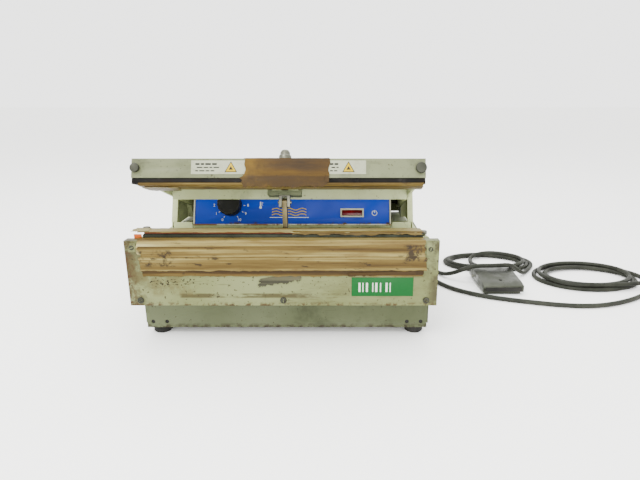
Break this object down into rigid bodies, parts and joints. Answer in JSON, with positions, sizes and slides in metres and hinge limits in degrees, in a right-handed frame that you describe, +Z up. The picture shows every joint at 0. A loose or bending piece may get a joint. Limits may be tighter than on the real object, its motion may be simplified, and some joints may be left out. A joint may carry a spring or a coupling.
{
  "type": "jaw heat sealer",
  "caption": "Bench jaw heat sealer with a solenoid-pulled hot upper jaw, a padded lower jaw, a temperature dial and a foot switch on a cord.",
  "frame": {"origin": "centre of the machine footprint on the bench, cords and foot switch left out", "axes": "+X to the right along the jaws, -Y towards the operator, +Z up"},
  "size_m": [0.7683, 0.3422, 0.2108],
  "materials": {
    "cream_paint": "satin, dirty",
    "grey_paint": "satin, scuffed",
    "dark_bar": "dull, stained",
    "steel": "dull",
    "black_rubber": "matte",
    "black_plastic": "matte",
    "black_strip": "matte, burnt",
    "silicone": "matte",
    "tape": "coated, scorched",
    "brown_tape": "coated, torn",
    "blue_panel": "satin",
    "trim": "satin",
    "red_lens": "glossy",
    "strap_metal": "tarnished",
    "core_steel": "varnished",
    "cord_sheath": "matte, dusty",
    "pedal_metal": "worn"
  },
  "bodies": {
    "machine": {"chassis_base": "grey_paint", "side_cover_left": "grey_paint", "side_cover_right": "grey_paint", "deck_plate": "cream_paint", "front_cover": "cream_paint", "lower_jaw_bar": "dark_bar", "silicone_pad": "silicone", "lower_jaw_tape": "tape", "front_tape": "tape", "lower_thumb_screw_left": "steel", "lower_thumb_screw_right": "steel", "lever_bracket": "steel", "solenoid_body": "core_steel", "transformer": "core_steel", "terminal_block": "black_plastic", "console_housing": "cream_paint", "control_panel": "blue_panel", "panel_frame": "trim", "lamp_bezel": "trim", "lamp_lens": "red_lens", "dial_potentiometer": "steel", "upright_left": "cream_paint", "upright_right": "cream_paint", "pivot_shaft": "steel", "return_spring_left": "steel", "return_spring_right": "steel", "rear_cover": "cream_paint", "foot_front_left": "black_rubber", "foot_front_right": "black_rubber", "foot_rear_left": "black_rubber", "foot_rear_right": "black_rubber", "switch_cord_gland": "black_plastic", "mains_cord_gland": "black_plastic", "switch_base": "pedal_metal", "treadle_pin": "steel", "switch_cord": "cord_sheath", "switch_cord_coil": "cord_sheath", "switch_cord_tail": "cord_sheath", "mains_cord": "cord_sheath", "mains_cord_coil": "cord_sheath", "mains_cord_tail": "cord_sheath", "mains_plug": "black_plastic"},
    "upper_jaw": {"jaw_bar": "cream_paint", "upper_thumb_screw_left": "steel", "upper_thumb_screw_right": "steel", "element_strip": "black_strip", "upper_jaw_tape": "tape", "hood_plate": "cream_paint", "arm_left": "cream_paint", "arm_right": "cream_paint", "pull_bracket": "cream_paint", "pull_clevis": "steel", "clevis_pin": "steel", "acorn_nut": "steel", "tape_patch": "brown_tape"},
    "link": {"link_strap": "strap_metal"},
    "lever": {"pull_lever": "steel"},
    "plunger": {"solenoid_plunger": "steel"},
    "knob": {"temperature_knob": "black_plastic"},
    "pedal": {"treadle": "pedal_metal"}
  },
  "joints": [
    {"name": "jaw_close", "type": "hinge", "parent": "machine", "child": "upper_jaw", "pos_m": [0, 0.0791, 0.124], "axis": [1, 0, 0], "range_deg": [0, 14.5], "stiffness_Nm_per_rad": 10, "springref_deg": -22.92},
    {"name": "link_swing", "type": "hinge", "parent": "upper_jaw", "child": "link", "pos_m": [0, -0.08519, 0.15407], "axis": [1, 0, 0], "range_deg": [-14, 1]},
    {"name": "lever_swing", "type": "hinge", "parent": "machine", "child": "lever", "pos_m": [0, 0.0391, 0.047], "axis": [1, 0, 0], "range_deg": [-1, 20.5]},
    {"name": "plunger_pull", "type": "slide", "parent": "machine", "child": "plunger", "axis": [0, -1, 0], "range_m": [-0.001, 0.0145]},
    {"name": "temperature_dial", "type": "hinge", "parent": "machine", "child": "knob", "pos_m": [-0.079, 0.00009, 0.13342], "axis": [0, -0.9317, 0.3633], "range_deg": [-195, 105]},
    {"name": "treadle_press", "type": "hinge", "parent": "machine", "child": "pedal", "pos_m": [0.2915, 0.0791, 0.0095], "axis": [1, 0, 0], "range_deg": [0, 3], "stiffness_Nm_per_rad": 8, "springref_deg": -6.88}
  ],
  "couplings": [
    {"joint": "link_swing", "follows": "jaw_close", "ratio": -0.91297},
    {"joint": "lever_swing", "follows": "jaw_close", "ratio": 1.3449},
    {"joint": "plunger_pull", "follows": "jaw_close", "m_per_rad": 0.055}
  ]
}
